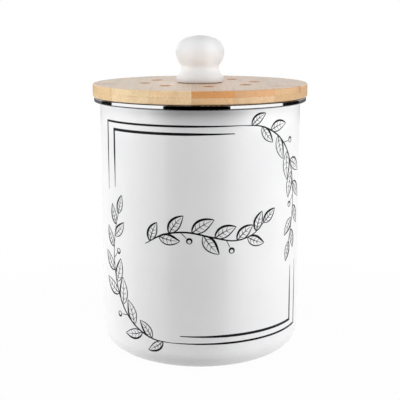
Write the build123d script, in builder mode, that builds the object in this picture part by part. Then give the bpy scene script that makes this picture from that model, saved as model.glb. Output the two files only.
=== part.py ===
from build123d import *
from math import atan2, degrees, sqrt
import os

# Compost caddy: a drawn steel bin with a polished rim, a lift-out bucket with a swinging bail,
# and a bamboo lid with a ceramic knob, vent holes and a charcoal filter behind a twist-off cover.
# The origin is the centre of the base on the worktop, +Z is up and the front faces -Y.

# Clearances
seat_gap = 0.3  # between pieces that lift, swing or turn apart
fit_gap = 0.05  # between pieces that are pressed, glued or screwed together

# Bin
bin_radius = 85.0
bin_height = 218.4
bin_wall = 0.8
foot_reach = 22.6  # how far the rounded foot comes in from the wall
foot_rise = 18.9
groove_inset = 10.4  # from the foot's curve to the stiffening ring pressed into the base
groove_width = 8.0
groove_rise = 1.0

# Rim, a hollow band of flat oval section
rim_width = 5.1
rim_height = 4.1
rim_round = 1.3
rim_wall = 0.8
rim_inset = 0.1  # how far the band's inner edge stands inside the bin's outer face
flange_bend = 0.3
flange_past_centre = 0.5

# Lid board
lid_overhang = 1.0  # past the rim
board_thickness = 10.9
board_top_round = 1.2
board_bottom_round = 1.2
vent_count = 8
vent_radius = 5.0
vent_side_gap = 1.5  # from the vents to the filter holder's flange
vent_first_angle = 8.0
vent_chamfer = 0.4

# Plug and seal under the board
plug_side_gap = 2.5  # from the plug to the bin's bore
plug_ring_width = 18.7
plug_depth = 13.0
plug_chamfer = 1.2
seal_drop = 4.0  # from the board to the seal's groove
seal_height = 5.0
seal_groove_depth = 2.4
fin_count = 2
fin_thickness = 0.8
fin_lift = 0.7  # how far a fin's tip leans up

# Knob
knob_radius = 20.5
knob_crown_radius = 34.0
knob_shoulder_radius = 12.1
knob_foot_radius = 20.3
knob_foot_bottom_inset = 1.1
knob_foot_top_inset = 1.4
knob_foot_rise = 5.6
knob_neck_radius = 15.8
knob_neck_rise = 6.4  # from the foot to the neck's narrowest place
knob_crease_rise = 2.1  # from there to the crease under the head
knob_crease_step = 0.1
knob_head_rise = 11.1  # from the crease to the head's widest place
pad_thickness = 0.5
pad_inset = 0.9

# Knob fastening
screw_radius = 2.5
screw_head_radius = 4.6
screw_head_height = 3.2
screw_end_gap = 2.0  # from the screw's tip to the insert's far end
socket_radius = 2.0
socket_depth = 1.8
washer_radius = 7.5
washer_thickness = 1.2
counterbore_side_gap = 0.5
counterbore_depth = 5.0
board_hole_gap = 0.3
insert_radius = 4.2
insert_length = 14.0
insert_bore_past_end = 1.0

# Filter holder and filter
holder_side_gap = 0.5  # from the holder to the plug's bore
holder_wall = 2.0
holder_flange_width = 9.0
holder_flange_thickness = 2.0
lug_count = 3
lug_first_angle = 90.0
holder_lug_angle = 30.0
holder_lug_reach = 2.5
holder_lug_thickness = 2.0
stop_angle = 3.0
filter_thickness = 5.5

# Filter cover
cover_lug_thickness = 2.2
cover_wall = 2.0
cover_plate = 1.8
grip_bar_end_gap = 3.5  # from the bar to the inner slots
grip_bar_width = 4.0
grip_bar_drop = 6.5
grip_bar_chamfer = 0.8
slot_width = 3.0
slot_edge_gap = 4.7  # from the outer slots to the cover's wall
slot_ring_gap = 4.5  # between the two rings of slots
inner_slot_count = 12
inner_slot_length = 11.0
outer_slot_count = 24
outer_slot_length = 12.0

# Holder screws
holder_screw_count = 4
holder_screw_first_angle = 30.0
holder_screw_radius = 1.5
holder_screw_head_radius = 3.0
holder_screw_length = 8.0
holder_pilot_past_end = 0.5

# Bail
bail_side_gap = 1.5  # from the bail to the bin's bore
bail_thickness = 3.2
bail_height = 9.0
bail_grip_rise = 4.0  # how far the grip stands above the strap
bail_grip_depth = 6.0  # how far the grip reaches forward from the back of the bail
bail_grip_round = 1.5
pin_radius = 2.0
pin_head_radius = 2.9
pin_head_thickness = 0.7

# Bucket
neck_gap = 2.8  # from the bucket's neck to the bail
bucket_wall = 1.8
bucket_floor = 2.2
bucket_taper = 3.5  # how much narrower the base is than the neck, on the radius
bucket_corner_radius = 8.0
bucket_top_gap = 3.0  # from the bucket's lip to the lid's plug
lip_width = 2.0
lip_height = 2.2
pivot_drop = 7.2  # from the top of the lip to the bail's pins
boss_radius = 4.2
ledge_inset = 0.7  # how far the ledge stops inside the bail's outer face
ledge_thickness = 1.8
ledge_rib_count = 16
ledge_rib_thickness = 1.6
ledge_rib_height = 8.0

# Bin and rim, worked out
bin_bore = bin_radius - bin_wall
foot_centre = bin_radius - foot_reach
groove_end = foot_centre - groove_inset
groove_radius = groove_end - groove_width / 2
groove_start = groove_end - groove_width
rim_centre_radius = bin_radius + rim_width / 2 - rim_inset
rim_centre_height = bin_height - rim_height / 2
flange_bottom = rim_centre_height - bin_wall / 2
flange_top = rim_centre_height + bin_wall / 2
flange_edge = rim_centre_radius + flange_past_centre

# Lid and knob, worked out
lid_radius = rim_centre_radius + rim_width / 2 + lid_overhang
board_bottom = bin_height + seat_gap
board_top = board_bottom + board_thickness
below_board = Plane((0, 0, board_bottom), x_dir=(1, 0, 0), z_dir=(0, 0, -1))
plug_radius = bin_bore - plug_side_gap
plug_bore = plug_radius - plug_ring_width
plug_bottom = board_bottom - plug_depth
seal_top = board_bottom - seal_drop
seal_bottom = seal_top - seal_height
seal_root = plug_radius - seal_groove_depth
washer_top = board_bottom + counterbore_depth
washer_bottom = washer_top - washer_thickness
knob_bottom = board_top + pad_thickness
insert_top = knob_bottom + insert_length
neck_height = knob_foot_rise + knob_neck_rise
crease_height = neck_height + knob_crease_rise
crease_radius = knob_neck_radius + knob_crease_step
belly_height = crease_height + knob_head_rise
shoulder_centre = knob_radius - knob_shoulder_radius
crown_reach = knob_crown_radius - knob_shoulder_radius
crown_drop = sqrt(crown_reach**2 - shoulder_centre**2)
shoulder_angle = degrees(atan2(crown_drop, shoulder_centre))
knob_height = belly_height + knob_crown_radius - crown_drop

# Filter holder and cover, worked out from the plug in and from the board down
holder_radius = plug_bore - holder_side_gap
holder_bore = holder_radius - holder_wall
holder_lug_edge = holder_bore - holder_lug_reach
holder_flange_edge = holder_radius - holder_flange_width
vent_circle_radius = holder_flange_edge - vent_side_gap - vent_radius
holder_flange_bottom = board_bottom - holder_flange_thickness
holder_screw_circle = (holder_flange_edge + holder_bore) / 2
below_flange = Plane((0, 0, holder_flange_bottom), x_dir=(1, 0, 0), z_dir=(0, 0, -1))
filter_top = holder_flange_bottom - fit_gap
filter_bottom = filter_top - filter_thickness
cover_top = filter_bottom - seat_gap
cover_lug_bottom = cover_top - cover_lug_thickness
holder_lug_top = cover_lug_bottom - seat_gap
holder_bottom = holder_lug_top - holder_lug_thickness
cover_radius = holder_lug_edge - seat_gap
cover_lug_edge = holder_bore - seat_gap
turning_gap_angle = degrees(seat_gap / cover_radius)
cover_lug_angle = holder_lug_angle - stop_angle - turning_gap_angle
outer_slot_start = cover_radius - cover_wall - slot_edge_gap - outer_slot_length
outer_slot_circle_radius = outer_slot_start + outer_slot_length / 2
inner_slot_start = outer_slot_start - slot_ring_gap - inner_slot_length
inner_slot_circle_radius = inner_slot_start + inner_slot_length / 2
grip_bar_length = 2 * (inner_slot_start - grip_bar_end_gap)

# Bail and bucket, worked out from the bin's bore in and from the plug down
bail_outer = bin_bore - bail_side_gap
bail_inner = bail_outer - bail_thickness
neck_radius = bail_inner - neck_gap
neck_bore = neck_radius - bucket_wall
lip_radius = neck_radius + lip_width
bucket_bottom = bin_wall + groove_rise + seat_gap
floor_top = bucket_bottom + bucket_floor
bucket_base_radius = neck_radius - bucket_taper
bucket_top = plug_bottom - bucket_top_gap
lip_bottom = bucket_top - lip_height
pivot_height = bucket_top - pivot_drop
ledge_top = pivot_height - bail_height / 2 - seat_gap
ledge_bottom = ledge_top - ledge_thickness
ledge_radius = bail_outer - ledge_inset
mid_wall_radius = neck_radius - bucket_wall / 2
boss_length = sqrt(bail_inner**2 - boss_radius**2) - seat_gap - mid_wall_radius
pin_length = bail_outer + seat_gap - mid_wall_radius


# Bin: one drawn shell from the base through the rounded foot to the flange inside the rim
with BuildPart() as bin_shell:
    with BuildSketch(Plane.XZ):
        with BuildLine():
            Line((0, 0), (groove_start, 0))
            ThreePointArc((groove_start, 0), (groove_radius, groove_rise), (groove_end, 0))
            Line((groove_end, 0), (foot_centre, 0))
            EllipticalCenterArc((foot_centre, foot_rise), foot_reach, foot_rise, 270, arc_size=90)
            FilletPolyline(
                (bin_radius, foot_rise),
                (bin_radius, flange_bottom),
                (flange_edge, flange_bottom),
                radius=flange_bend,
            )
            Line((flange_edge, flange_bottom), (flange_edge, flange_top))
            FilletPolyline(
                (flange_edge, flange_top),
                (bin_bore, flange_top),
                (bin_bore, foot_rise),
                radius=flange_bend + bin_wall,
            )
            EllipticalCenterArc(
                (foot_centre, foot_rise),
                foot_reach - bin_wall,
                foot_rise - bin_wall,
                270,
                arc_size=90,
            )
            Line((foot_centre, bin_wall), (groove_end, bin_wall))
            ThreePointArc(
                (groove_end, bin_wall),
                (groove_radius, groove_rise + bin_wall),
                (groove_start, bin_wall),
            )
            Polyline((groove_start, bin_wall), (0, bin_wall), (0, 0))
        make_face()
    revolve(axis=Axis.Z)
bin_shell.part.label = "bin_shell"


# Rim: a polished hoop rolled over the flange, open towards the wall
with BuildPart() as rim_band:
    with BuildSketch(Plane.XZ):
        with Locations((rim_centre_radius, rim_centre_height)):
            RectangleRounded(rim_width, rim_height, rim_round)
            RectangleRounded(
                rim_width - 2 * rim_wall,
                rim_height - 2 * rim_wall,
                rim_round - rim_wall,
                mode=Mode.SUBTRACT,
            )
            # The slot that takes the flange
            Rectangle(
                rim_width,
                bin_wall + 2 * fit_gap,
                align=(Align.MAX, Align.CENTER),
                mode=Mode.SUBTRACT,
            )
        # The lower lip stops where the flange bends out of the wall
        with Locations((bin_radius + flange_bend, flange_top)):
            Rectangle(
                rim_width,
                rim_height,
                align=(Align.MAX, Align.MAX),
                mode=Mode.SUBTRACT,
            )
    revolve(axis=Axis.Z)
rim_band.part.label = "rim_band"


# Bucket: a tapered moulding with a lip, a neck that the bail folds round, and a ledge under it
with BuildPart() as inner_bucket:
    with BuildSketch(Plane.XZ):
        with BuildLine():
            FilletPolyline(
                (0, bucket_bottom),
                (bucket_base_radius, bucket_bottom),
                (neck_radius, ledge_bottom),
                radius=bucket_corner_radius,
            )
            Polyline(
                (neck_radius, ledge_bottom),
                (ledge_radius, ledge_bottom),
                (ledge_radius, ledge_top),
                (neck_radius, ledge_top),
                (neck_radius, lip_bottom),
                (lip_radius, lip_bottom),
                (lip_radius, bucket_top),
                (neck_bore, bucket_top),
                (neck_bore, ledge_bottom),
            )
            FilletPolyline(
                (neck_bore, ledge_bottom),
                (bucket_base_radius - bucket_wall, floor_top),
                (0, floor_top),
                radius=bucket_corner_radius - bucket_wall,
            )
            Line((0, floor_top), (0, bucket_bottom))
        make_face()
    revolve(axis=Axis.Z)
    # Ribs that brace the ledge from below
    for rib in range(ledge_rib_count):
        rib_angle = (rib + 0.5) * 360 / ledge_rib_count
        with BuildSketch(Plane.XZ.rotated((0, 0, rib_angle))):
            with BuildLine():
                Polyline(
                    (mid_wall_radius, ledge_bottom),
                    (ledge_radius, ledge_bottom),
                    (mid_wall_radius, ledge_bottom - ledge_rib_height),
                    close=True,
                )
            make_face()
        extrude(amount=ledge_rib_thickness / 2, both=True)
    # A boss, a pin and a head on each side carry the bail
    for side in (1, -1):
        pin_plane = Plane((side * mid_wall_radius, 0, pivot_height), x_dir=(0, 1, 0), z_dir=(side, 0, 0))
        with BuildSketch(pin_plane):
            Circle(boss_radius)
        extrude(amount=boss_length)
        with BuildSketch(pin_plane):
            Circle(pin_radius)
        extrude(amount=pin_length)
        with BuildSketch(pin_plane.offset(pin_length)):
            Circle(pin_head_radius)
        extrude(amount=pin_head_thickness)
inner_bucket.part.label = "inner_bucket"


# Bail: a flat strap bent round the back of the bucket, with an eye at each end and a broad grip
with BuildPart() as bucket_bail:
    with BuildSketch(Plane.XY.offset(pivot_height - bail_height)):
        Circle(bail_outer)
        Circle(bail_inner, mode=Mode.SUBTRACT)
    extrude(amount=2 * bail_height + bail_grip_rise)
    # What the strap keeps, seen from the side
    with BuildSketch(Plane.YZ):
        with Locations((0, pivot_height)):
            Circle(bail_height / 2)
            Rectangle(bail_outer, bail_height, align=(Align.MIN, Align.CENTER))
        with Locations((bail_outer, pivot_height - bail_height / 2)):
            Rectangle(
                bail_grip_depth,
                bail_height + bail_grip_rise,
                align=(Align.MAX, Align.MIN),
            )
        grip_step = (bail_outer - bail_grip_depth, pivot_height + bail_height / 2 + bail_grip_rise / 2)
        fillet(vertices().sort_by_distance(grip_step)[:2], bail_grip_round)
        with Locations((0, pivot_height)):
            Circle(pin_radius + seat_gap, mode=Mode.SUBTRACT)
    extrude(amount=bail_outer, both=True, mode=Mode.INTERSECT)
bucket_bail.part.label = "bucket_bail"


# Lid board: a bamboo disc with soft edges, a ring of vent holes and a counterbored screw hole
with BuildPart() as lid_board:
    with BuildSketch(Plane.XY.offset(board_bottom)):
        Circle(lid_radius)
    extrude(amount=board_thickness)
    fillet(edges().sort_by(Axis.Z)[-1], board_top_round)
    fillet(edges().sort_by(Axis.Z)[0], board_bottom_round)
    with Locations(below_board):
        with PolarLocations(vent_circle_radius, vent_count, start_angle=-vent_first_angle):
            Hole(vent_radius)
    vent_edges = edges().filter_by(GeomType.CIRCLE).filter_by(lambda edge: edge.radius == vent_radius)
    chamfer(vent_edges, vent_chamfer)
    with Locations(below_board):
        CounterBoreHole(
            screw_radius + board_hole_gap,
            washer_radius + counterbore_side_gap,
            counterbore_depth,
        )
        with PolarLocations(holder_screw_circle, holder_screw_count, start_angle=holder_screw_first_angle):
            Hole(
                holder_screw_radius + fit_gap,
                holder_screw_length - holder_flange_thickness + holder_pilot_past_end,
            )
lid_board.part.label = "lid_board"


# Plug: a bamboo ring under the board that centres the lid in the bin's mouth
with BuildPart() as lid_plug:
    with BuildSketch(Plane.XZ):
        with BuildLine():
            Polyline(
                (plug_bore, board_bottom),
                (plug_radius, board_bottom),
                (plug_radius, seal_top),
                (seal_root, seal_top),
                (seal_root, seal_bottom),
                (plug_radius, seal_bottom),
                (plug_radius, plug_bottom + plug_chamfer),
                (plug_radius - plug_chamfer, plug_bottom),
                (plug_bore, plug_bottom),
                close=True,
            )
        make_face()
    revolve(axis=Axis.Z)
lid_plug.part.label = "lid_plug"


# Seal: a silicone ring with thin fins that lean up and almost touch the bore
with BuildPart() as seal_ring:
    with BuildSketch(Plane.XZ):
        with Locations((seal_root + fit_gap, (seal_top + seal_bottom) / 2)):
            Rectangle(
                seal_groove_depth - fit_gap,
                seal_height - 2 * fit_gap,
                align=(Align.MIN, Align.CENTER),
            )
        for fin in range(fin_count):
            fin_height = seal_bottom + (fin + 0.5) * seal_height / fin_count
            with BuildLine():
                Polyline(
                    (plug_radius - fin_thickness, fin_height - fin_thickness),
                    (bin_bore - seat_gap, fin_height + fin_lift),
                    (bin_bore - seat_gap, fin_height + fin_lift + fin_thickness / 2),
                    (plug_radius - fin_thickness, fin_height + fin_thickness / 2),
                    close=True,
                )
            make_face()
    revolve(axis=Axis.Z)
seal_ring.part.label = "seal_ring"


# Knob: a turned ceramic knob with a rolled foot, a cove, a crease and a domed head
with BuildPart() as knob:
    with BuildSketch(Plane((0, 0, knob_bottom), x_dir=(1, 0, 0), z_dir=(0, -1, 0))):
        with BuildLine():
            foot_bottom = (knob_foot_radius - knob_foot_bottom_inset, 0)
            foot_bulge = (knob_foot_radius, knob_foot_rise / 2)
            foot_top = (knob_foot_radius - knob_foot_top_inset, knob_foot_rise)
            crease = (crease_radius, crease_height)
            belly = (knob_radius, belly_height)
            crown = (0, knob_height)
            Line((0, 0), foot_bottom)
            ThreePointArc(foot_bottom, foot_bulge, foot_top)
            ThreePointArc(foot_top, (knob_neck_radius, neck_height), crease)
            TangentArc(belly, crease, tangent=(0, -1))
            shoulder = JernArc(belly, (0, 1), knob_shoulder_radius, shoulder_angle)
            TangentArc(shoulder @ 1, crown, tangent=shoulder % 1)
            Line(crown, (0, 0))
        make_face()
    revolve(axis=Axis.Z)
    with Locations(Plane((0, 0, knob_bottom), x_dir=(1, 0, 0), z_dir=(0, 0, -1))):
        Hole(insert_radius + fit_gap, insert_length + insert_bore_past_end)
knob.part.label = "knob"


# Pad: a thin disc between the knob's foot and the board
with BuildPart() as knob_pad:
    with BuildSketch(Plane.XY.offset(board_top)):
        Circle(knob_foot_radius - knob_foot_bottom_inset - pad_inset)
        Circle(screw_radius + board_hole_gap, mode=Mode.SUBTRACT)
    extrude(amount=pad_thickness)
knob_pad.part.label = "knob_pad"


# Insert: a brass sleeve in the knob that takes the screw
with BuildPart() as knob_insert:
    with BuildSketch(Plane.XY.offset(knob_bottom)):
        Circle(insert_radius)
        Circle(screw_radius + fit_gap, mode=Mode.SUBTRACT)
    extrude(amount=insert_length)
knob_insert.part.label = "knob_insert"


# Screw: comes up from below through the washer and the board into the insert
with BuildPart() as knob_screw:
    with BuildSketch(Plane.XY.offset(washer_bottom - screw_head_height)):
        Circle(screw_head_radius)
    extrude(amount=screw_head_height)
    fillet(edges().sort_by(Axis.Z)[0], screw_head_height / 3)
    with BuildSketch(Plane.XY.offset(washer_bottom)):
        Circle(screw_radius)
    extrude(amount=insert_top - screw_end_gap - washer_bottom)
    with BuildSketch(Plane.XY.offset(washer_bottom - screw_head_height)):
        RegularPolygon(socket_radius, 6)
    extrude(amount=socket_depth, mode=Mode.SUBTRACT)
knob_screw.part.label = "knob_screw"


# Washer under the screw's head
with BuildPart() as screw_washer:
    with BuildSketch(Plane.XY.offset(washer_bottom)):
        Circle(washer_radius)
        Circle(screw_radius + board_hole_gap, mode=Mode.SUBTRACT)
    extrude(amount=washer_thickness)
screw_washer.part.label = "screw_washer"


# Filter holder: a flanged ring under the board with inward bayonet lugs, each with a stop
with BuildPart() as filter_holder:
    with BuildSketch(Plane.XZ):
        with BuildLine():
            Polyline(
                (holder_flange_edge, board_bottom),
                (holder_radius, board_bottom),
                (holder_radius, holder_bottom),
                (holder_bore, holder_bottom),
                (holder_bore, holder_flange_bottom),
                (holder_flange_edge, holder_flange_bottom),
                close=True,
            )
        make_face()
    revolve(axis=Axis.Z)
    for lug in range(lug_count):
        lug_start = lug_first_angle + lug * 360 / lug_count - holder_lug_angle / 2
        stop_start = lug_start + holder_lug_angle - stop_angle
        with BuildSketch(Plane.XZ.rotated((0, 0, lug_start))):
            with Locations((holder_lug_edge, holder_bottom)):
                Rectangle(
                    holder_lug_reach + holder_wall / 2,
                    holder_lug_thickness,
                    align=(Align.MIN, Align.MIN),
                )
        revolve(axis=Axis.Z, revolution_arc=holder_lug_angle)
        with BuildSketch(Plane.XZ.rotated((0, 0, stop_start))):
            with Locations((holder_lug_edge, holder_bottom)):
                Rectangle(
                    holder_lug_reach + holder_wall / 2,
                    cover_top - holder_bottom,
                    align=(Align.MIN, Align.MIN),
                )
        revolve(axis=Axis.Z, revolution_arc=stop_angle)
    with Locations(below_flange):
        with PolarLocations(holder_screw_circle, holder_screw_count, start_angle=holder_screw_first_angle):
            CounterSinkHole(
                holder_screw_radius + fit_gap,
                holder_screw_head_radius + fit_gap,
                depth=holder_flange_thickness,
                counter_sink_angle=90,
            )
filter_holder.part.label = "filter_holder"


# Holder screws: countersunk wood screws, flush with the flange
with BuildPart() as holder_screws:
    with Locations(below_flange):
        with PolarLocations(holder_screw_circle, holder_screw_count, start_angle=holder_screw_first_angle):
            Cylinder(
                holder_screw_radius,
                holder_screw_length,
                align=(Align.CENTER, Align.CENTER, Align.MAX),
            )
            Cone(
                holder_screw_radius,
                holder_screw_head_radius,
                holder_screw_head_radius - holder_screw_radius,
                align=(Align.CENTER, Align.CENTER, Align.MAX),
            )
holder_screws.part.label = "holder_screws"


# Filter: a pad of activated charcoal felt
with BuildPart() as charcoal_filter:
    with BuildSketch(Plane.XY.offset(filter_bottom)):
        Circle(holder_bore - seat_gap)
    extrude(amount=filter_thickness)
charcoal_filter.part.label = "charcoal_filter"


# Filter cover: a slotted dish with outward bayonet lugs and a bar to turn it by
with BuildPart() as filter_cover:
    with BuildSketch(Plane.XZ):
        with BuildLine():
            Polyline(
                (0, holder_bottom),
                (cover_radius, holder_bottom),
                (cover_radius, cover_top),
                (cover_radius - cover_wall, cover_top),
                (cover_radius - cover_wall, holder_bottom + cover_plate),
                (0, holder_bottom + cover_plate),
                close=True,
            )
        make_face()
    revolve(axis=Axis.Z)
    for lug in range(lug_count):
        lug_start = lug_first_angle + lug * 360 / lug_count - holder_lug_angle / 2
        with BuildSketch(Plane.XZ.rotated((0, 0, lug_start))):
            with Locations((cover_lug_edge, cover_top)):
                Rectangle(
                    cover_lug_edge - cover_radius + cover_wall / 2,
                    cover_lug_thickness,
                    align=(Align.MAX, Align.MAX),
                )
        revolve(axis=Axis.Z, revolution_arc=cover_lug_angle)
    with BuildSketch(Plane.XY.offset(holder_bottom)):
        with PolarLocations(inner_slot_circle_radius, inner_slot_count):
            SlotOverall(inner_slot_length, slot_width)
        with PolarLocations(outer_slot_circle_radius, outer_slot_count):
            SlotOverall(outer_slot_length, slot_width)
    extrude(amount=cover_plate, mode=Mode.SUBTRACT)
    with BuildSketch(Plane.XY.offset(holder_bottom - grip_bar_drop)):
        SlotOverall(grip_bar_length, grip_bar_width)
    extrude(amount=grip_bar_drop + cover_plate / 2)
    chamfer(edges().group_by(Axis.Z)[0], grip_bar_chamfer)
filter_cover.part.label = "filter_cover"


caddy = (
    bin_shell,
    rim_band,
    inner_bucket,
    bucket_bail,
    lid_board,
    lid_plug,
    seal_ring,
    knob,
    knob_pad,
    knob_insert,
    knob_screw,
    screw_washer,
    filter_holder,
    holder_screws,
    charcoal_filter,
    filter_cover,
)
os.makedirs("parts", exist_ok=True)
for piece in caddy:
    export_step(piece.part, f"parts/{piece.part.label}.step")
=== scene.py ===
import math

import bmesh
import bpy
from mathutils import Matrix, Vector


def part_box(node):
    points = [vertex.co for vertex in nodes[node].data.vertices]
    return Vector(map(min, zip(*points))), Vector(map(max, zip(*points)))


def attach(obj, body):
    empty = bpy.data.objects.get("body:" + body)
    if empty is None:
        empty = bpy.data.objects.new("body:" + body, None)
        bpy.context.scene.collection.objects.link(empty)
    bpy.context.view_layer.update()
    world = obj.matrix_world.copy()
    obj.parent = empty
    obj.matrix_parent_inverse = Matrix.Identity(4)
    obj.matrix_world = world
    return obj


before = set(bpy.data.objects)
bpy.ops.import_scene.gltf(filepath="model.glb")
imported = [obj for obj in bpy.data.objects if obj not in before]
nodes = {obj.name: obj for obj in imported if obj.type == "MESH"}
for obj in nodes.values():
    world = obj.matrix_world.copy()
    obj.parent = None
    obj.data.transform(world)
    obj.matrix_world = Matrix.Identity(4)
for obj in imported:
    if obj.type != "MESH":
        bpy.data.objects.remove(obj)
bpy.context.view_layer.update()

boardLow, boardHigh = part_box("lid_board")
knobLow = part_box("knob")[0]
rimLow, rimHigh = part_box("rim_band")
usual = (0.3, 0.7)  # between these lie nearly all values of a noise


def screen(red, green, blue):  # a colour as a screen shows it, 0 to 255, made linear for a shader
    def linear(value):
        part = value / 255
        return part / 12.92 if part <= 0.04045 else ((part + 0.055) / 1.055) ** 2.4

    return (linear(red), linear(green), linear(blue), 1.0)


class Signal:  # one output socket, whose operators add Math nodes
    def __init__(self, owner, socket):
        self.owner = owner
        self.socket = socket

    def via(self, operation, second=0.0, third=0.0):
        return self.owner.node("ShaderNodeMath", {"operation": operation}, {0: self, 1: second, 2: third})

    def __add__(self, other):
        return self.via("ADD", other)

    def __radd__(self, other):
        return self.via("ADD", other)

    def __sub__(self, other):
        return self.via("SUBTRACT", other)

    def __rsub__(self, other):
        return self.via("MULTIPLY_ADD", -1.0, other)

    def __mul__(self, other):
        return self.via("MULTIPLY", other)

    def __rmul__(self, other):
        return self.via("MULTIPLY", other)

    def __truediv__(self, other):
        return self.via("DIVIDE", other)


class Tree:  # the nodes of a material or of the world
    def __init__(self, tree):
        self.tree = tree

    def node(self, kind, settings=None, sockets=None, output=0):
        made = self.tree.nodes.new(kind)
        for name, value in (settings or {}).items():
            if name == "stops":
                while len(made.color_ramp.elements) < len(value):
                    made.color_ramp.elements.new(0.5)
                for stop, (place, colour) in zip(made.color_ramp.elements, value):
                    stop.position = place
                    stop.color = colour
            elif name == "steps":
                made.color_ramp.interpolation = value
            else:
                setattr(made, name, value)
        for name, value in (sockets or {}).items():
            if isinstance(value, Signal):
                self.link(value, made.inputs[name])
            else:
                made.inputs[name].default_value = value
        return Signal(self, made.outputs[output])

    def link(self, signal, socket):
        self.tree.links.new(signal.socket, socket)

    def place(self):  # where on the object a point is, in metres
        return self.node("ShaderNodeTexCoord", output=3)

    def axes(self, vector):
        split = self.node("ShaderNodeSeparateXYZ", sockets={0: vector}).socket.node
        return [Signal(self, split.outputs[k]) for k in range(3)]

    def join(self, x, y, z):
        return self.node("ShaderNodeCombineXYZ", sockets={0: x, 1: y, 2: z})

    def reach(self, x, y):  # how far off an upright axis a point is
        return (x * x + y * y).via("SQRT")

    def stretch(self, vector, by):
        return self.node("ShaderNodeVectorMath", {"operation": "MULTIPLY"}, {0: vector, 1: by})

    def noise(self, vector, scale, detail=2.0, rough=0.5, warp=0.0):
        shape = {"Scale": scale, "Detail": detail, "Roughness": rough, "Distortion": warp}
        return self.node("ShaderNodeTexNoise", sockets={"Vector": vector, **shape})

    def ramp(self, value, low, high, start=0.0, end=1.0):  # a soft step from start at low to end at high
        return self.node(
            "ShaderNodeMapRange",
            {"interpolation_type": "SMOOTHSTEP"},
            {"Value": value, "From Min": low, "From Max": high, "To Min": start, "To Max": end},
        )

    def fade(self, value, low, high):  # 1 up to low and 0 from high on
        return self.ramp(value, low, high, 1.0, 0.0)

    def mix(self, mask, under, over):
        return self.node("ShaderNodeMix", {"data_type": "RGBA"}, {0: mask, 6: under, 7: over}, 2)


class Finish(Tree):  # one material and its shader
    def __init__(self, name, **fixed):
        self.material = bpy.data.materials.new(name)
        self.material.use_nodes = True
        super().__init__(self.material.node_tree)
        self.shader = self.tree.nodes["Principled BSDF"]
        for socket, value in fixed.items():
            self.shader.inputs[socket.replace("_", " ")].default_value = value

    def feed(self, **signals):
        for socket, signal in signals.items():
            self.link(signal, self.shader.inputs[socket.replace("_", " ")])

    def bump(self, height, depth, normal=None):
        sockets = {"Height": height, "Distance": depth}
        if normal:
            sockets["Normal"] = normal
        self.feed(Normal=self.node("ShaderNodeBump", sockets=sockets))

    # A normal that is smooth over the rounded edge of a turned disc or hoop. It takes over from the mesh's
    # own between the two distances of blend, which are counted in corners from the edge inwards.
    def discNormal(self, low, high, corner, blend=(2.0, 1.6)):
        x, y, z = self.axes(self.place())
        reach = self.reach(x, y)
        out = (reach - (high.x - corner)).via("MAXIMUM", 0.0) / reach
        up = (z - (high.z - corner)).via("MAXIMUM", 0.0) - (low.z + corner - z).via("MAXIMUM", 0.0)
        leaning = self.join(x * out, y * out, up)
        turned = self.node("ShaderNodeVectorMath", {"operation": "NORMALIZE"}, {0: leaning})
        meshed = self.node("ShaderNodeNewGeometry", output=1)
        edge = self.ramp(reach, high.x - blend[0] * corner, high.x - blend[1] * corner)
        return self.node("ShaderNodeMix", {"data_type": "VECTOR"}, {0: edge, 4: meshed, 5: turned}, 1)

    def dress(self, *names):
        for name in names:
            for holder in nodes[name].material_slots:
                holder.material = self.material


# White enamel on the steel bin: a soft gloss with a faint orange peel and fine specks. Under the rim,
# painted shade makes it greyer at the front, and painted light makes it whiter elsewhere.
enamel = {
    "white": (0.80, 0.80, 0.805, 1.0),
    "cloud": (0.775, 0.775, 0.785, 1.0),
    "cloudSize": 0.05,
    "cloudSpan": (0.35, 0.65),
    "speck": (0.55, 0.55, 0.56, 1.0),
    "speckSize": 0.0011,
    "speckSpan": (0.72, 0.82),
    "speckStrength": 0.5,
    "roughness": (0.30, 0.38),
    "peelSize": 0.0042,
    "peelDepth": 0.00005,
    "frontSpan": (-1.0, -0.86),  # y over the distance from the axis, at the middle and the ends of the front
    # thin: the colour of the painted shade under the rim at the front, then how far down it reaches and how
    # strong it is
    "thin": (0.42, 0.42, 0.43, 1.0),
    "paintedShadeReach": 0.022,
    "paintedShadeStrength": 0.70,
    # the painted light under the rim away from the front: its colour and how far down it reaches
    "paintedLight": (0.90, 0.90, 0.905, 1.0),
    "paintedLightReach": 0.030,
}
white = Finish("white_enamel", Coat_Roughness=0.12, Coat_Weight=0.35, IOR=1.5)
spot = white.place()
cloud = white.ramp(white.noise(spot, 1 / enamel["cloudSize"], 3.0), *enamel["cloudSpan"])
speck = white.ramp(white.noise(spot, 1 / enamel["speckSize"], 1.0), *enamel["speckSpan"])
peel = white.noise(spot, 1 / enamel["peelSize"], 1.5)
x, y, z = white.axes(spot)
front = white.fade(y / white.reach(x, y), *enamel["frontSpan"])
# thin is the painted shade under the rim at the front; the next mask is the painted light under the rim
# elsewhere
thin = white.ramp(rimLow.z - z, 0.0, enamel["paintedShadeReach"], enamel["paintedShadeStrength"], 0.0) * front
paintedLight = white.fade(rimLow.z - z, 0.0, enamel["paintedLightReach"]) * (1.0 - front)
coloured = white.mix(cloud, enamel["white"], enamel["cloud"])
coloured = white.mix(paintedLight, coloured, enamel["paintedLight"])
coloured = white.mix(thin, coloured, enamel["thin"])
white.feed(
    Base_Color=white.mix(speck * enamel["speckStrength"], coloured, enamel["speck"]),
    Roughness=white.ramp(peel, *usual, *enamel["roughness"]),
)
white.bump(peel, enamel["peelDepth"])
white.dress("bin_shell")
print("enamel done")
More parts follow.
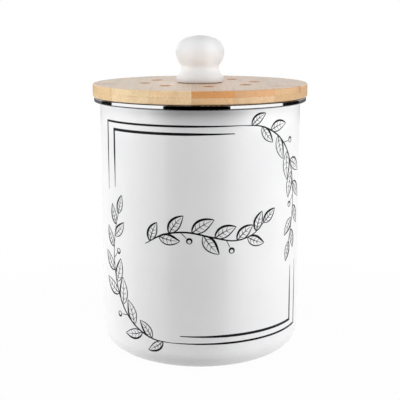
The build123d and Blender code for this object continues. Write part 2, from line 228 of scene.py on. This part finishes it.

# Polished steel of the rim, with faint lines that run round it, and painted shade along its lower lip and
# along the outer edge of its top, where the bin and the lid shade it. Each painted shade starts fully dark
# and ends bright.
steel = {
    "bright": (0.96, 0.96, 0.965, 1.0),
    "dull": (0.88, 0.88, 0.89, 1.0),
    "dullSpan": (0.3, 0.75),
    "roughness": (0.03, 0.07),
    "lineSize": 0.00022,
    "lineLength": 0.05,
    "lineRadius": 0.0875,
    "lineDepth": 0.000004,
    # dark: the colour of the painted shade on the lower lip and the top edge
    "dark": (0.14, 0.14, 0.15, 1.0),
    "lipShadeSpan": (0.00105, 0.0015),
    "shoulderShadeSpan": (0.00036, 0.0006),
    "shoulderShadeReach": (0.0006, 0.00108),
    "corner": 0.0009,
}
rim = Finish("polished_steel", Metallic=1.0)
x, y, z = rim.axes(rim.place())
reach = rim.reach(x, y)
around = y.via("ARCTAN2", x) * steel["lineRadius"] / steel["lineLength"]
lines = rim.noise(rim.join(reach / steel["lineSize"], around, z / steel["lineSize"]), 1.0)
polished = rim.mix(rim.ramp(lines, *steel["dullSpan"]), steel["bright"], steel["dull"])
# painted shade along the lower lip and along the outer edge of the top
lipShade = rim.fade(z - rimLow.z, *steel["lipShadeSpan"])
shoulderShade = rim.fade(rimHigh.z - z, *steel["shoulderShadeSpan"])
shoulderShade = shoulderShade * rim.fade(rimHigh.x - reach, *steel["shoulderShadeReach"])
rim.feed(
    Base_Color=rim.mix(lipShade.via("MAXIMUM", shoulderShade), polished, steel["dark"]),
    Roughness=rim.ramp(lines, *usual, *steel["roughness"]),
)
rim.bump(lines, steel["lineDepth"], rim.discNormal(rimLow, rimHigh, steel["corner"]))
rim.dress("rim_band")
print("rim done")

# Bamboo: two plies of glued staves that run front to back, with fibres, knuckles, glue and toasted vents
bamboo = {
    "firstSeam": -0.0704,
    "staveWidth": 0.032,
    "upperPly": [
        screen(226, 196, 150),
        screen(238, 212, 170),
        screen(250, 217, 172),
        screen(226, 162, 102),
        screen(216, 168, 122),
        screen(214, 176, 134),
    ],
    "lowerPly": [
        screen(226, 196, 150),
        screen(239, 212, 170),
        screen(250, 220, 176),
        screen(232, 192, 146),
        screen(222, 188, 148),
        screen(206, 170, 128),
    ],
    "plySeam": 0.00001,
    "roughness": (0.34, 0.5),
    "corner": 0.0012,
}
grainLook = {
    "fibre": screen(176, 124, 74),
    "fibreSize": 0.0009,
    "fibreLength": 0.05,
    "fibreSpan": (0.42, 0.78),
    "fibreStrength": 0.35,
    "streakSize": 0.006,
    "streakSpan": (0.35, 0.8),
    "streakStrength": 0.18,
    "depth": 0.00006,
}
# Painted sheen on the board's top face: a paler, pinker colour and weaker grain stand in for the white
# surround's reflection
paintedTopSheen = {
    "colour": screen(236, 213, 192),
    "strength": 0.75,
    "sheenHiddenGrain": 0.6,  # the share of the grain that the painted sheen hides
    "span": (0.0005, 0.0001),  # how far under the top it starts and is complete
}
knuckleLook = {
    "colour": screen(160, 104, 58),
    "strength": 0.6,
    "span": (0.00048, 0.0016),
    "haloStrength": 0.22,
    "haloReach": 0.012,
    "spread": 0.22,  # along the stave, over which a knuckle may lie
    "waver": 0.003,
    "waverScale": 260.0,
    "upperSeed": 17.0,  # gives the upper ply other knuckles than the lower
    "dip": 0.4,
}
glueLook = {
    "colour": screen(150, 102, 60),
    "strength": 0.55,
    "width": 0.00022,
    "ends": (0.94, 0.95),  # shares of half the board, past which no seam shows
    "breaks": (0.35, 0.6),  # values of the fibres between which the glue between the plies breaks off
    "dip": 0.6,
}
vents = {
    "circle": 0.047,
    "radius": 0.005,
    "count": 8,
    "first": 8.0,  # degrees from +X to the first one
    "toast": screen(206, 134, 62),
    "toastStrength": 0.85,
    "toastSpan": (0.0001, 0.0009),
    "toastWaver": 0.0006,
}
wood = Finish("bamboo", Coat_Roughness=0.25, Coat_Weight=0.2)
spot = wood.place()
x, y, z = wood.axes(spot)
plyLine = (boardLow.z + boardHigh.z) / 2
boardWidth = boardHigh.x - boardLow.x
across = x / boardWidth + 0.5


def staveColours(colours):  # one colour for each stave, from the left edge to the right
    stops = [(0.0, colours[0])]
    for k, colour in enumerate(colours[1:]):
        seam = bamboo["firstSeam"] + k * bamboo["staveWidth"]
        stops.append((seam / boardWidth + 0.5, colour))
    return wood.node("ShaderNodeValToRGB", {"stops": stops, "steps": "CONSTANT"}, {0: across})


def fibrous(size):  # how far a noise is squeezed along X, Y and Z for fibres of this width
    sideways = 1 / size
    return (sideways, sideways * grainLook["fibreSize"] / grainLook["fibreLength"], sideways)


upper = wood.ramp(z, plyLine - bamboo["plySeam"], plyLine + bamboo["plySeam"])
tone = wood.mix(upper, staveColours(bamboo["lowerPly"]), staveColours(bamboo["upperPly"]))
fibres = wood.noise(wood.stretch(spot, fibrous(grainLook["fibreSize"])), 1.0, 3.0, 0.6)
streaks = wood.noise(wood.stretch(spot, fibrous(grainLook["streakSize"])), 1.0)
topStart, topEnd = paintedTopSheen["span"]
# top: where the painted sheen lies
top = wood.ramp(z, boardHigh.z - topStart, boardHigh.z - topEnd)
grain = wood.ramp(fibres, *grainLook["fibreSpan"]) * grainLook["fibreStrength"]
grain = grain + wood.ramp(streaks, *grainLook["streakSpan"]) * grainLook["streakStrength"]
grain = grain * (1.0 - top * paintedTopSheen["sheenHiddenGrain"])

# Knuckles: a thin darker band across each stave, somewhere along it
staveAt = (x - bamboo["firstSeam"]) / bamboo["staveWidth"]
staveNumber = staveAt.via("FLOOR") + upper * knuckleLook["upperSeed"]
chance = wood.node("ShaderNodeTexWhiteNoise", {"noise_dimensions": "1D"}, {"W": staveNumber})
waver = wood.noise(wood.join(x * knuckleLook["waverScale"], staveNumber, 0.0), 1.0, 1.0)
knuckleAway = y - (chance - 0.5) * knuckleLook["spread"] + waver * knuckleLook["waver"]
knuckleAway = knuckleAway.via("ABSOLUTE")
knuckle = wood.fade(knuckleAway, *knuckleLook["span"])
halo = wood.fade(knuckleAway, 0.0, knuckleLook["haloReach"])

# Glue lines between the staves and between the plies
seamAway = (0.5 - (staveAt.via("FRACT") - 0.5).via("ABSOLUTE")) * bamboo["staveWidth"]
glueStart, glueEnd = glueLook["ends"]
glue = wood.fade(seamAway, 0.0, glueLook["width"])
glue = glue * wood.fade(x.via("ABSOLUTE"), boardWidth / 2 * glueStart, boardWidth / 2 * glueEnd)
plyGlue = wood.fade((z - plyLine).via("ABSOLUTE"), 0.0, glueLook["width"])
glued = glue.via("MAXIMUM", plyGlue * wood.ramp(fibres, *glueLook["breaks"]))

# Toasted walls of the vents, from how far a point is from the nearest vent's axis
turn = 2 * math.pi / vents["count"]
bearing = (y.via("ARCTAN2", x) - math.radians(vents["first"])) / turn + 0.5
bearing = (bearing.via("FRACT") - 0.5) * turn
reach = wood.reach(x, y)
alongVent = reach * bearing.via("COSINE") - vents["circle"]
acrossVent = reach * bearing.via("SINE")
ventAway = wood.reach(alongVent, acrossVent)
toastStart, toastEnd = (vents["radius"] + edge for edge in vents["toastSpan"])
wavering = ventAway + (fibres - 0.5) * vents["toastWaver"]
toast = wood.ramp(wavering, toastStart, toastEnd, vents["toastStrength"], 0.0)

# the painted sheen on the top face
colour = wood.mix(top * paintedTopSheen["strength"], tone, paintedTopSheen["colour"])
colour = wood.mix(grain, colour, grainLook["fibre"])
colour = wood.mix(halo * knuckleLook["haloStrength"], colour, grainLook["fibre"])
colour = wood.mix(knuckle * knuckleLook["strength"], colour, knuckleLook["colour"])
colour = wood.mix(glued * glueLook["strength"], colour, glueLook["colour"])
colour = wood.mix(toast, colour, vents["toast"])
wood.feed(
    Base_Color=colour,
    Roughness=wood.ramp(fibres, *usual, *bamboo["roughness"]),
)
wood.bump(
    fibres - glued * glueLook["dip"] - knuckle * knuckleLook["dip"],
    grainLook["depth"],
    wood.discNormal(boardLow, boardHigh, bamboo["corner"]),
)
wood.dress("lid_board", "lid_plug")
print("bamboo done")

# White glaze of the ceramic knob: smooth, with painted light that makes it whiter below the crease, pooled
# at the foot and in the crease itself, and painted shade that makes the head's two sides a touch greyer
glaze = {
    "white": (0.83, 0.83, 0.84, 1.0),
    # sides: the colour of the painted shade on the head's two sides
    "sides": (0.68, 0.69, 0.70, 1.0),
    "sideShadeSpan": (0.006, 0.018),
    # foot: painted light, whiter than the head
    "foot": (0.97, 0.97, 0.97, 1.0),
    "pooled": (0.86, 0.85, 0.84, 1.0),
    "poolStrength": 0.7,
    "poolReach": 0.0022,
    "poolWaver": 0.001,
    "footPool": 0.0015,
    "creaseHeight": 0.0137,
    "creaseBlend": 0.001,
    "pit": (0.72, 0.70, 0.67, 1.0),
    "pitScale": 900.0,
    "pitSpan": (0.78, 0.84),
    "pitStrength": 0.6,
    "pitDip": 0.2,
    "roughness": (0.30, 0.42),
    "waveSize": 0.009,
    "waveDepth": 0.00005,
}
china = Finish(
    "white_glaze",
    Specular_IOR_Level=0.3,
    Coat_Weight=0.05,
    Coat_Roughness=0.15,
    Subsurface_Weight=0.9,
    Subsurface_Scale=0.022,
    Subsurface_Radius=(1.0, 0.95, 0.9),
)
spot = china.place()
x, y, z = china.axes(spot)
wave = china.noise(spot, 1 / glaze["waveSize"])
rise = z - knobLow.z
overCrease = rise - glaze["creaseHeight"]
creaseAway = (overCrease + (wave - 0.5) * glaze["poolWaver"]).via("ABSOLUTE")
pool = china.fade(creaseAway, 0.0, glaze["poolReach"])
pool = pool.via("MAXIMUM", china.fade(rise, 0.0, glaze["footPool"]))
# painted shade on the head's two sides, then painted light below the crease
head = china.mix(china.ramp(x.via("ABSOLUTE"), *glaze["sideShadeSpan"]), glaze["white"], glaze["sides"])
body = china.mix(china.ramp(overCrease, -glaze["creaseBlend"], glaze["creaseBlend"]), glaze["foot"], head)
pits = china.ramp(china.noise(spot, glaze["pitScale"], 0.0), *glaze["pitSpan"])
body = china.mix(pool * glaze["poolStrength"], body, glaze["pooled"])
china.feed(
    Base_Color=china.mix(pits * glaze["pitStrength"], body, glaze["pit"]),
    Roughness=china.ramp(wave, *usual, *glaze["roughness"]),
)
china.bump(wave - pits * glaze["pitDip"], glaze["waveDepth"])
china.dress("knob")
print("knob done")


def mouldedPlastic(name, look, *pieces):  # a satin moulding with a fine spark grain and a few flow marks
    plastic = Finish(name, Specular_IOR_Level=0.45)
    spot = plastic.place()
    spark = plastic.noise(spot, 1 / look["sparkSize"], 2.0, 0.6)
    flow = plastic.noise(plastic.stretch(spot, look["flowStretch"]), 1 / look["flowSize"], 3.0)
    plastic.feed(
        Base_Color=plastic.mix(plastic.ramp(flow, *usual), look["colour"], look["flowColour"]),
        Roughness=plastic.ramp(spark, *usual, *look["roughness"]),
    )
    plastic.bump(spark, look["sparkDepth"])
    plastic.dress(*pieces)


bucketLook = {
    "colour": (0.28, 0.29, 0.30, 1.0),
    "flowColour": (0.33, 0.34, 0.35, 1.0),
    "flowSize": 0.06,
    "flowStretch": (1.0, 1.0, 0.25),
    "sparkSize": 0.0006,
    "sparkDepth": 0.00003,
    "roughness": (0.38, 0.55),
}
bailLook = dict(
    bucketLook,
    colour=(0.21, 0.22, 0.23, 1.0),
    flowColour=(0.25, 0.26, 0.27, 1.0),
    flowSize=0.03,
)
filterLook = dict(
    bucketLook,
    colour=(0.86, 0.86, 0.84, 1.0),
    flowColour=(0.80, 0.80, 0.78, 1.0),
    flowSize=0.02,
    roughness=(0.32, 0.46),
)
mouldedPlastic("bucket_plastic", bucketLook, "inner_bucket")
mouldedPlastic("bail_plastic", bailLook, "bucket_bail")
mouldedPlastic("filter_plastic", filterLook, "filter_holder", "filter_cover")
print("mouldings done")

# Silicone of the seal: milky, matt, with a little dust on it
rubber = {
    "milk": (0.82, 0.82, 0.80, 1.0),
    "dust": (0.70, 0.69, 0.66, 1.0),
    "dustSize": 0.0025,
    "dustSpan": (0.45, 0.75),
    "dustDepth": 0.00002,
    "roughness": (0.5, 0.68),
}
seal = Finish("silicone", Specular_IOR_Level=0.35, Subsurface_Weight=0.15, Subsurface_Scale=0.002)
dust = seal.noise(seal.place(), 1 / rubber["dustSize"], 3.0, 0.65)
seal.feed(
    Base_Color=seal.mix(seal.ramp(dust, *rubber["dustSpan"]), rubber["milk"], rubber["dust"]),
    Roughness=seal.ramp(dust, *usual, *rubber["roughness"]),
)
seal.bump(dust, rubber["dustDepth"])
seal.dress("seal_ring")

# Brown pad under the knob: pressed cork granules
cork = {
    "brown": screen(150, 100, 62),
    "dark": screen(92, 56, 32),
    "darkSpan": (0.2, 0.7),
    "grainSize": 0.0012,
    "grainDepth": 0.0001,
}
pad = Finish("brown_pad", Roughness=0.85)
grains = pad.node(
    "ShaderNodeTexVoronoi",
    {"feature": "F1"},
    {"Vector": pad.place(), "Scale": 1 / cork["grainSize"]},
)
pad.feed(Base_Color=pad.mix(pad.ramp(grains, *cork["darkSpan"]), cork["brown"], cork["dark"]))
pad.bump(grains, cork["grainDepth"])
pad.dress("knob_pad")


def turnedMetal(name, look, *pieces):  # rings left by the lathe, a little tarnish
    metal = Finish(name, Metallic=1.0)
    spot = metal.place()
    x, y, z = metal.axes(spot)
    ringAt = metal.join(metal.reach(x, y) / look["ringSize"], 0.0, z / look["ringSize"])
    rings = metal.noise(ringAt, 1.0, 1.0)
    tarnish = metal.noise(spot, 1 / look["tarnishSize"], 3.0)
    metal.feed(
        Base_Color=metal.mix(metal.ramp(tarnish, *look["tarnishSpan"]), look["colour"], look["tarnish"]),
        Roughness=metal.ramp(rings, *usual, *look["roughness"]),
    )
    metal.bump(rings, look["ringDepth"])
    metal.dress(*pieces)


brassLook = {
    "colour": (0.80, 0.60, 0.28, 1.0),
    "tarnish": (0.55, 0.38, 0.16, 1.0),
    "tarnishSize": 0.004,
    "tarnishSpan": (0.4, 0.75),
    "ringSize": 0.00025,
    "ringDepth": 0.00001,
    "roughness": (0.2, 0.34),
}
zincLook = dict(
    brassLook,
    colour=(0.70, 0.71, 0.73, 1.0),
    tarnish=(0.58, 0.58, 0.56, 1.0),
    roughness=(0.28, 0.42),
)
turnedMetal("brass", brassLook, "knob_insert")
turnedMetal("zinc_steel", zincLook, "knob_screw", "screw_washer", "holder_screws")

# Charcoal felt: dark matted fibres with lighter strays
felt = {
    "dark": (0.022, 0.022, 0.024, 1.0),
    "stray": (0.11, 0.11, 0.12, 1.0),
    "straySpan": (0.52, 0.72),
    "fibreSize": 0.0007,
    "fibreDepth": 0.0003,
}
charcoal = Finish("charcoal_felt", Roughness=0.95, Sheen_Weight=0.2, Sheen_Roughness=0.6)
matted = charcoal.noise(charcoal.place(), 1 / felt["fibreSize"], 3.0, 0.7, 2.5)
stray = charcoal.ramp(matted, *felt["straySpan"])
charcoal.feed(Base_Color=charcoal.mix(stray, felt["dark"], felt["stray"]))
charcoal.bump(matted, felt["fibreDepth"])
charcoal.dress("charcoal_filter")
print("small pieces done")


# Print on the bin: black ink in thin raised lines. It is drawn flat, u along the round of the bin from the
# middle of the print and v up from the worktop, and then wrapped on the wall.
printing = {
    "wall": 0.085,  # radius of the bin's outer face
    "turn": math.radians(3.7),  # from the front to the middle of the print
    "proud": 0.00007,
    "sunk": -0.00006,
    "middle": 0.1138,  # height of its middle
    "step": 0.0012,  # between the points of a smoothed line
}


def wrapped(u, v, lift):
    angle = printing["turn"] + u / printing["wall"]
    reach = printing["wall"] + lift
    return Vector((reach * math.sin(angle), -reach * math.cos(angle), v))


def heading(degrees):  # the way that an angle points, from the u axis
    angle = math.radians(degrees)
    return Vector((math.cos(angle), math.sin(angle)))


def smoothed(points):  # a fine even line through a few points
    line = []
    for k in range(len(points) - 1):
        b, c = Vector(points[k]), Vector(points[k + 1])
        a = Vector(points[k - 1]) if k else 2 * b - c
        d = Vector(points[k + 2]) if k + 2 < len(points) else 2 * c - b
        parts = max(2, round((c - b).length / printing["step"]))
        for s in range(parts):
            t = s / parts
            curve = (2 * a - 5 * b + 4 * c - d) * t * t + (3 * b - a - 3 * c + d) * t**3
            line.append(0.5 * (2 * b + (c - a) * t + curve))
    line.append(Vector(points[-1]))
    return line


def alongLine(line, share):  # the point at a share of the line's length
    lengths = [(after - before).length for before, after in zip(line, line[1:])]
    left = share * sum(lengths)
    for k, length in enumerate(lengths):
        if left <= length:
            return line[k].lerp(line[k + 1], left / length)
        left -= length
    return line[-1]


class Drawing:  # strokes that end up in one mesh on the bin's wall
    def __init__(self, flipped=False):  # flipped: turned half round, about the middle of the print
        self.mesh = bmesh.new()
        self.flipped = flipped

    def stroke(self, line, widths):  # widths gives the width at a share of the line, from 0 to 1
        travelled = [0.0]
        for before, after in zip(line, line[1:]):
            travelled.append(travelled[-1] + (after - before).length)
        rows = []
        for k, point in enumerate(line):
            along = (line[min(k + 1, len(line) - 1)] - line[max(k - 1, 0)]).normalized()
            half = Vector((-along.y, along.x)) * widths(travelled[k] / travelled[-1]) / 2
            row = []
            for side, lift in ((1, "proud"), (-1, "proud"), (-1, "sunk"), (1, "sunk")):
                u, v = point + side * half
                if self.flipped:
                    u, v = -u, 2 * printing["middle"] - v
                row.append(self.mesh.verts.new(wrapped(u, v, printing[lift])))
            rows.append(row)
        for first, second in zip(rows, rows[1:]):
            for k in range(4):
                m = (k + 1) % 4
                self.mesh.faces.new((first[k], first[m], second[m], second[k]))
        self.mesh.faces.new(rows[0][::-1])
        self.mesh.faces.new(rows[-1])

    def finish(self, name, ink):
        bmesh.ops.recalc_face_normals(self.mesh, faces=self.mesh.faces)
        data = bpy.data.meshes.new(name)
        self.mesh.to_mesh(data)
        self.mesh.free()
        piece = bpy.data.objects.new(name, data)
        bpy.context.scene.collection.objects.link(piece)
        data.materials.append(ink.material)
        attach(piece, "bin")


def swelling(full, thin, power=0.7):  # the width of a line that swells in its middle
    return lambda t: full * (thin + (1 - thin) * math.sin(math.pi * t) ** power)


def tapering(full, start, end, thin=0.3):  # the width of a line that thins out over its two end parts
    def width(t):
        first = min(t / start, 1.0) if start else 1.0
        last = min((1 - t) / end, 1.0) if end else 1.0
        return full * (thin + (1 - thin) * min(first, last))

    return width


inkLook = {
    "black": (0.005, 0.005, 0.006, 1.0),
    "worn": (0.03, 0.03, 0.032, 1.0),
    "wornSize": 0.0012,
    "wornSpan": (0.5, 0.8),
    "wornDepth": 0.00001,
    "roughness": (0.32, 0.5),
}
ink = Finish("black_print", Specular_IOR_Level=0.15)
worn = ink.noise(ink.place(), 1 / inkLook["wornSize"], 3.0, 0.6)
ink.feed(
    Base_Color=ink.mix(ink.ramp(worn, *inkLook["wornSpan"]), inkLook["black"], inkLook["worn"]),
    Roughness=ink.ramp(worn, *usual, *inkLook["roughness"]),
)
ink.bump(worn, inkLook["wornDepth"])

# Border: two nested lines that run round two opposite corners and thin out before the leaves. Each has where
# it starts in u, its left side, its top, where it ends in v, and its width.
border = {
    "outer": (0.030, math.radians(66) * printing["wall"], 0.2018, 0.145, 0.0017),
    "inner": (0.022, math.radians(58.5) * printing["wall"], 0.1957, 0.148, 0.0022),
    "topParts": 90,
    "sideParts": 50,
    "topTaper": 0.35,
    "sideTaper": 0.6,
    "sideThin": 0.2,
}


def cornerLine(drawing, start, half, top, end, width):  # along the top to the left corner, and down
    parts = border["topParts"]
    along = [Vector((start - (start + half) * k / parts, top)) for k in range(parts + 1)]
    along.append(Vector((-half - width / 2, top)))
    drawing.stroke(along, tapering(width, border["topTaper"], 0.0))
    parts = border["sideParts"]
    down = [Vector((-half, top - (top - end) * k / parts)) for k in range(parts + 1)]
    down.insert(0, Vector((-half, top + width / 2)))
    drawing.stroke(down, tapering(width, 0.0, border["sideTaper"], border["sideThin"]))


for side, flipped in (("left", False), ("right", True)):
    lineWork = Drawing(flipped)
    cornerLine(lineWork, *border["outer"])
    cornerLine(lineWork, *border["inner"])
    lineWork.finish("printed_border_" + side, ink)
print("border done")

# Leaves: plain pointed ones with a midrib and a few veins, heavier on one side, and small round berries
leaves = {
    "parts": 22,
    "bend": 24.0,  # degrees that a leaf's spine turns over its length
    "pointed": (0.82, 0.9),  # powers that draw the widest place towards the base and fill the sides out
    "outline": 0.00085,
    "heavySide": 1.9,
    "thinEnds": (0.3, 0.4),  # of the heavy side and of the other
    "rib": 0.00065,
    "ribEnd": 2,
    "ribTaper": 0.7,
    "vein": 0.00042,
    "veinTaper": 0.8,
    "veins": 3,
    "veinStep": 4,
    "veinRise": 3,
    "veinShare": 0.82,
    "stem": 0.0012,
    "stemTaper": (0.15, 0.5, 0.45),
    # shares of the stem: its first leaf, its largest leaf, and how far back its direction is taken
    "firstAt": 0.05,
    "widestAt": 0.4,
    "lookBack": 0.03,
    "berryParts": 18,
    "berryLine": (1.2, 0.6),  # its even width and what it swells by, over a leaf's outline
    "stalkTaper": 0.5,
}


def drawLeaf(drawing, base, degrees, length, width, bend, weight):
    parts = leaves["parts"]
    spine = [base]
    for k in range(parts):
        degrees += bend / parts
        spine.append(spine[-1] + heading(degrees) * length / parts)
    sides = {1: [], -1: []}
    early, full = leaves["pointed"]
    for k, point in enumerate(spine):
        ahead = (spine[min(k + 1, parts)] - spine[max(k - 1, 0)]).normalized()
        out = Vector((-ahead.y, ahead.x)) * width / 2 * math.sin(math.pi * (k / parts) ** early) ** full
        for side in sides:
            sides[side].append(point + side * out)
    heavyThin, lightThin = leaves["thinEnds"]
    drawing.stroke(sides[1], swelling(leaves["outline"] * weight * leaves["heavySide"], heavyThin))
    drawing.stroke(sides[-1], swelling(leaves["outline"] * weight, lightThin))
    rib = spine[: parts - leaves["ribEnd"]]
    drawing.stroke(rib, tapering(leaves["rib"] * weight, 0.0, leaves["ribTaper"]))
    vein = tapering(leaves["vein"] * weight, 0.0, leaves["veinTaper"])
    for k in range(leaves["veins"]):
        root = leaves["veinStep"] * (k + 1)
        start = spine[root]
        for side in sides:
            end = start.lerp(sides[side][root + leaves["veinRise"]], leaves["veinShare"])
            drawing.stroke([start, start.lerp(end, 0.5), end], vein)


def drawBerry(drawing, centre, radius, weight):
    parts = leaves["berryParts"]
    even, swell = (leaves["outline"] * weight * share for share in leaves["berryLine"])
    ring = [centre + heading(360 * k / parts) * radius for k in range(parts + 1)]
    drawing.stroke(ring, lambda t: even + swell * math.sin(2 * math.pi * t))


# Sprigs with leaves on alternate sides and a berry in place of some: a long one at the top right corner, the
# same turned round at the bottom left, and a short one in the middle
cornerSprig = {
    "stem": [
        (0.030, 0.2018),
        (0.046, 0.2002),
        (0.063, 0.1925),
        (0.077, 0.1795),
        (0.0865, 0.161),
        (0.0905, 0.140),
        (0.0885, 0.119),
        (0.083, 0.101),
    ],
    "count": 13,
    "leaf": (0.0240, 0.0100),
    "sizes": (0.62, 1.0, 0.70),  # at the stem's start, at the widest place and at its tip
    "spread": 49.0,  # degrees between a leaf and the stem
    "berries": (4, 9),
    "berry": (0.0105, 0.0021),  # how far from the stem, and its radius
}
middleSprig = {
    "stem": [
        (-0.052, 0.1065),
        (-0.035, 0.1155),
        (-0.016, 0.1180),
        (0.004, 0.1140),
        (0.022, 0.1105),
        (0.038, 0.1140),
        (0.049, 0.1225),
    ],
    "count": 11,
    "leaf": (0.0205, 0.0094),
    "sizes": (0.80, 1.0, 0.78),
    "spread": 50.0,
    "berries": (3, 7),
    "berry": (0.0100, 0.0020),
}


def leafSize(sizes, share):  # the share of a full leaf's size at a share of the stem's length
    first, middle, last = sizes
    widest = leaves["widestAt"]
    if share < widest:
        return first + (middle - first) * share / widest
    return middle + (last - middle) * (share - widest) / (1 - widest)


def drawSprig(name, plan, weight, flipped=False):
    drawing = Drawing(flipped)
    stem = smoothed(plan["stem"])
    drawing.stroke(stem, tapering(leaves["stem"] * weight, *leaves["stemTaper"]))
    for k in range(plan["count"] + 1):
        share = leaves["firstAt"] + (1 - leaves["firstAt"]) * k / plan["count"]
        side = 0 if k == plan["count"] else 1 - 2 * (k % 2)
        base = alongLine(stem, share)
        ahead = base - alongLine(stem, share - leaves["lookBack"])
        degrees = math.degrees(math.atan2(ahead.y, ahead.x)) + side * plan["spread"]
        if k in plan["berries"]:
            away, radius = plan["berry"]
            out = heading(degrees)
            stalk = [base, base + out * away * 0.5, base + out * (away - radius)]
            drawing.stroke(stalk, tapering(leaves["rib"], 0.0, leaves["stalkTaper"]))
            drawBerry(drawing, base + out * away, radius, weight)
        else:
            length, width = (leafSize(plan["sizes"], share) * measure for measure in plan["leaf"])
            drawLeaf(drawing, base, degrees, length, width, -side * leaves["bend"], weight)
    drawing.finish(name, ink)


drawSprig("printed_spray_right", cornerSprig, 1.0)
drawSprig("printed_spray_left", cornerSprig, 1.0, True)
drawSprig("printed_sprig", middleSprig, 1.15)
print("leaves done")

# Studio: a pale floor that melts into a white surround, low soft lamps on both sides and behind, one above
# the front, and dark and grey cards. Only gloss sees the cards, which draw the bands in the rim, and it sees
# no lamp.
studio = {
    "surround": 0.20,
    "floorSide": 12.0,
    "floorWhite": 0.60,
    "floorGlow": (0.975, 1.0),
    "floorFade": (0.11, 0.40),  # how far from the middle its glow goes from the first value to the second
    "lamps": {
        # place, size across and up, and watts
        "left_lamp": ((-1.40, 0.0, 0.20), 0.9, 0.38, 16.2),
        "right_lamp": ((1.40, 0.0, 0.20), 0.9, 0.38, 7.2),
        "right_fill": ((1.20, -0.70, 0.20), 0.7, 0.38, 7.8),
        "top_lamp": ((0.0, -0.92, 1.31), 1.2, 0.65, 9.6),
        "back_lamp": ((0.0, 1.40, 0.30), 0.9, 0.5, 4.0),
    },
    "aim": (0.0, 0.0, 0.13),
    "cards": {
        # bearings of its two sides from the front, in degrees, then how far off its foot and its top stand,
        # its height and its grey: the rim mirrors what lies between these bearings
        "front_card": (-38.0, 31.0, 0.06, 0.02, 1.9, 0.0),
        "left_card": (-131.0, -108.0, 1.9, 1.9, 3.4, 0.01),
        "left_grey_card": (-179.0, -131.0, 1.9, 1.9, 0.28, 0.15),
        "right_card": (98.0, 132.0, 1.9, 1.9, 3.4, 0.005),
        "right_grey_card": (132.0, 179.0, 1.9, 1.9, 0.28, 0.12),
    },
    "cardFoot": 0.002,  # height of each card's foot over the worktop
}


def panel(name, corners, finish):  # a flat sheet of the studio, from its four corners row by row
    data = bpy.data.meshes.new(name)
    data.from_pydata(corners, [], [(0, 1, 3, 2)])
    data.materials.append(finish.material)
    made = bpy.data.objects.new(name, data)
    bpy.context.scene.collection.objects.link(made)
    return made


def seenAsWhite(tree):  # 1 for rays from the camera, from gloss and through glass
    path = tree.node("ShaderNodeLightPath").socket.node
    rays = ("Is Camera Ray", "Is Glossy Ray", "Is Transmission Ray")
    camera, gloss, glass = (Signal(tree, path.outputs[name]) for name in rays)
    return camera.via("MAXIMUM", gloss).via("MAXIMUM", glass)


world = bpy.data.worlds.new("surround")
bpy.context.scene.world = world
world.use_nodes = True
sky = Tree(world.node_tree)
background = sky.tree.nodes["Background"]
background.inputs["Color"].default_value = (1.0, 1.0, 1.0, 1.0)
sky.link(sky.ramp(seenAsWhite(sky), 0.0, 1.0, studio["surround"], 1.0), background.inputs["Strength"])

floorGrey = studio["floorWhite"]
paper = Finish("floor_paper", Roughness=0.9, Specular_IOR_Level=0.0, Base_Color=(floorGrey,) * 3 + (1.0,))
x, y, z = paper.axes(paper.place())
farOff = paper.ramp(paper.reach(x, y), *studio["floorFade"], *studio["floorGlow"])
lit = Signal(paper, paper.shader.outputs[0])
glow = paper.node("ShaderNodeEmission")
shown = paper.node("ShaderNodeMixShader", sockets={0: seenAsWhite(paper) * farOff, 1: lit, 2: glow})
paper.link(shown, paper.tree.nodes["Material Output"].inputs[0])
edge = studio["floorSide"] / 2
panel("floor", [(u, v, 0.0) for v in (-edge, edge) for u in (-edge, edge)], paper)

for name, (*bearings, foot, top, height, grey) in studio["cards"].items():
    card = Finish(name + "_paper", Roughness=1.0, Specular_IOR_Level=0.0, Base_Color=(0.0, 0.0, 0.0, 1.0))
    card.shader.inputs["Emission Color"].default_value = (grey, grey, grey, 1.0)
    card.shader.inputs["Emission Strength"].default_value = 1.0
    corners = []
    for bearing in bearings:
        angle = math.radians(bearing)
        start = rimHigh.x * Vector((math.sin(angle / 2), -math.cos(angle / 2), 0.0))
        away = Vector((math.sin(angle), -math.cos(angle), 0.0))
        corners.append(start + away * foot + Vector((0.0, 0.0, studio["cardFoot"])))
        corners.append(start + away * top + Vector((0.0, 0.0, height)))
    sheet = panel(name, corners, card)
    sheet.visible_camera = False
    sheet.visible_diffuse = False
    sheet.visible_shadow = False

for name, (place, across, up, watts) in studio["lamps"].items():
    lamp = bpy.data.lights.new(name, "AREA")
    lamp.shape = "RECTANGLE"
    lamp.size = across
    lamp.size_y = up
    lamp.energy = watts
    holder = bpy.data.objects.new(name, lamp)
    bpy.context.scene.collection.objects.link(holder)
    holder.location = place
    holder.rotation_euler = (Vector(studio["aim"]) - Vector(place)).to_track_quat("-Z", "Y").to_euler()
    holder.visible_glossy = False
bpy.context.scene.view_settings.view_transform = "Standard"
print("studio done")

# Camera in front of the caddy, a little above the lid, as in the photograph
viewpoint = {
    "aside": -0.0002,
    "distance": 0.8074,
    "height": 0.2881,
    "pitch": 11.257,
    "roll": -0.092,
    "lens": 84.89,
    "sensor": 36.0,
}
camera = bpy.data.cameras.new("camera")
camera.lens = viewpoint["lens"]
camera.sensor_width = viewpoint["sensor"]
eye = bpy.data.objects.new("camera", camera)
bpy.context.scene.collection.objects.link(eye)
eye.matrix_world = (
    Matrix.Translation((viewpoint["aside"], -viewpoint["distance"], viewpoint["height"]))
    @ Matrix.Rotation(math.radians(90 - viewpoint["pitch"]), 4, "X")
    @ Matrix.Rotation(math.radians(viewpoint["roll"]), 4, "Z")
)
bpy.context.scene.camera = eye
print("camera done")
